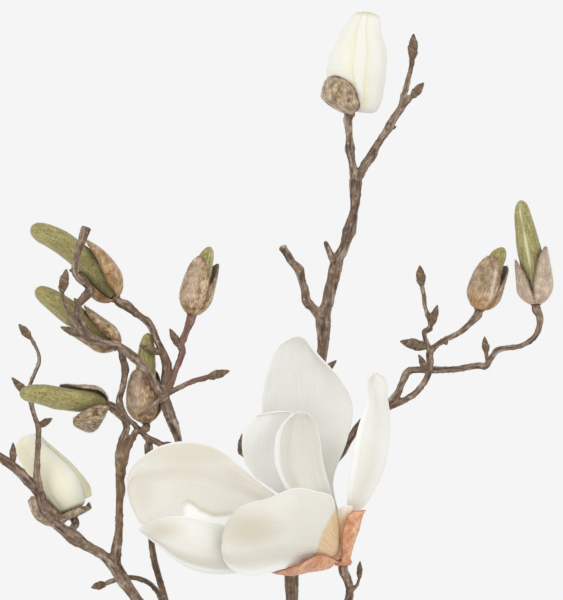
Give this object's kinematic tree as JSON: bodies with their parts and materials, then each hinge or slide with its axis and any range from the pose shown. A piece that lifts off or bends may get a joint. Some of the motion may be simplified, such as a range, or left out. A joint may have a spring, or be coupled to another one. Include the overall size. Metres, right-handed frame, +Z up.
{
  "type": "magnolia branches in vase",
  "caption": "Flowering magnolia branches with an open white bloom, closed white buds and furry green-tipped buds, standing in a plain vase of water.",
  "frame": {"origin": "centre of the vase's flat foot, on the surface it stands on", "axes": "+Z up along the vase's axis; the picture looks along +Y with +X to the right"},
  "size_m": [0.294, 0.12, 0.5553],
  "materials": {
    "vase": "satin",
    "water": "gloss",
    "bark": "matte",
    "petal": "satin",
    "heart": "matte",
    "salmon_bract": "matte",
    "white_bud": "satin",
    "fur_bract": "matte",
    "green_bud": "matte"
  },
  "bodies": {
    "root": {"vase": "vase", "water": "water", "branch_left": "bark", "branch_cluster": "bark", "branch_right": "bark", "bloom_tepals": "petal", "bloom_heart": "heart", "bloom_bracts": "salmon_bract", "white_bud_left": "white_bud", "white_bud_left_bract": "fur_bract", "white_bud_top": "white_bud", "white_bud_top_bract": "fur_bract", "bud_a_bracts": "fur_bract", "bud_a_core": "green_bud", "bud_b_bracts": "fur_bract", "bud_b_core": "green_bud", "bud_c_bracts": "fur_bract", "bud_c_core": "green_bud", "bud_d_bracts": "fur_bract", "bud_d_core": "green_bud", "bud_g_bracts": "fur_bract", "bud_g_core": "green_bud", "bud_j_bracts": "fur_bract", "bud_j_core": "green_bud", "bud_k_bracts": "fur_bract", "bud_k_core": "green_bud"}
  },
  "joints": []
}
